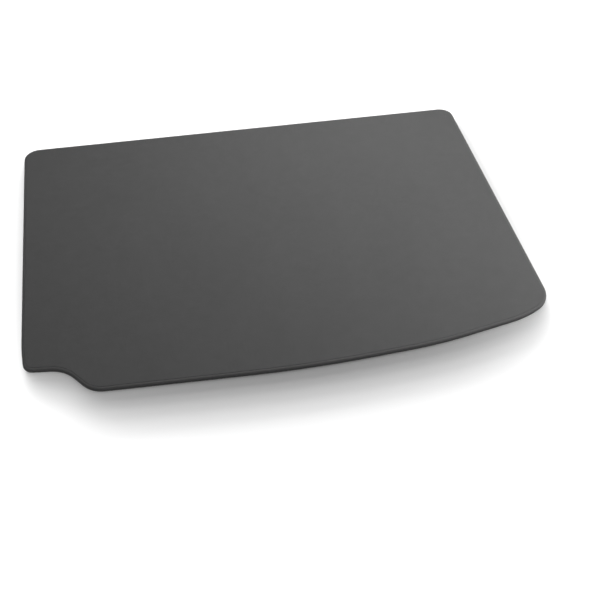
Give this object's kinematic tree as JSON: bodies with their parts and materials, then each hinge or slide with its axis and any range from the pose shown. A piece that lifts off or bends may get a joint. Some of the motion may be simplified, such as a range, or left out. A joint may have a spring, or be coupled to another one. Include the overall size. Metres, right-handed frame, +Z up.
{
  "type": "trunk mat",
  "caption": "Flat carpet mat cut to a car's trunk floor: straight front edge, bowed rear edge, rear left corner stepped back, and an overcast yarn edging all round.",
  "frame": {"origin": "middle of the bounding rectangle of the plan, on the underside that lies on the trunk floor", "axes": "+X to the right across the trunk, +Y forwards to the straight edge behind the rear seats, +Z up out of the pile"},
  "size_m": [1, 0.7794, 0.01],
  "materials": {
    "carpet": "short dark grey cut pile, matt, with a fine grain; plain dark felt on the underside",
    "edging_yarn": "thick soft yarn in the pile's own dark grey, laid in close slanting turns over the edge"
  },
  "bodies": {
    "root": {"carpet_sheet": "carpet", "edge_binding": "edging_yarn"}
  },
  "joints": []
}
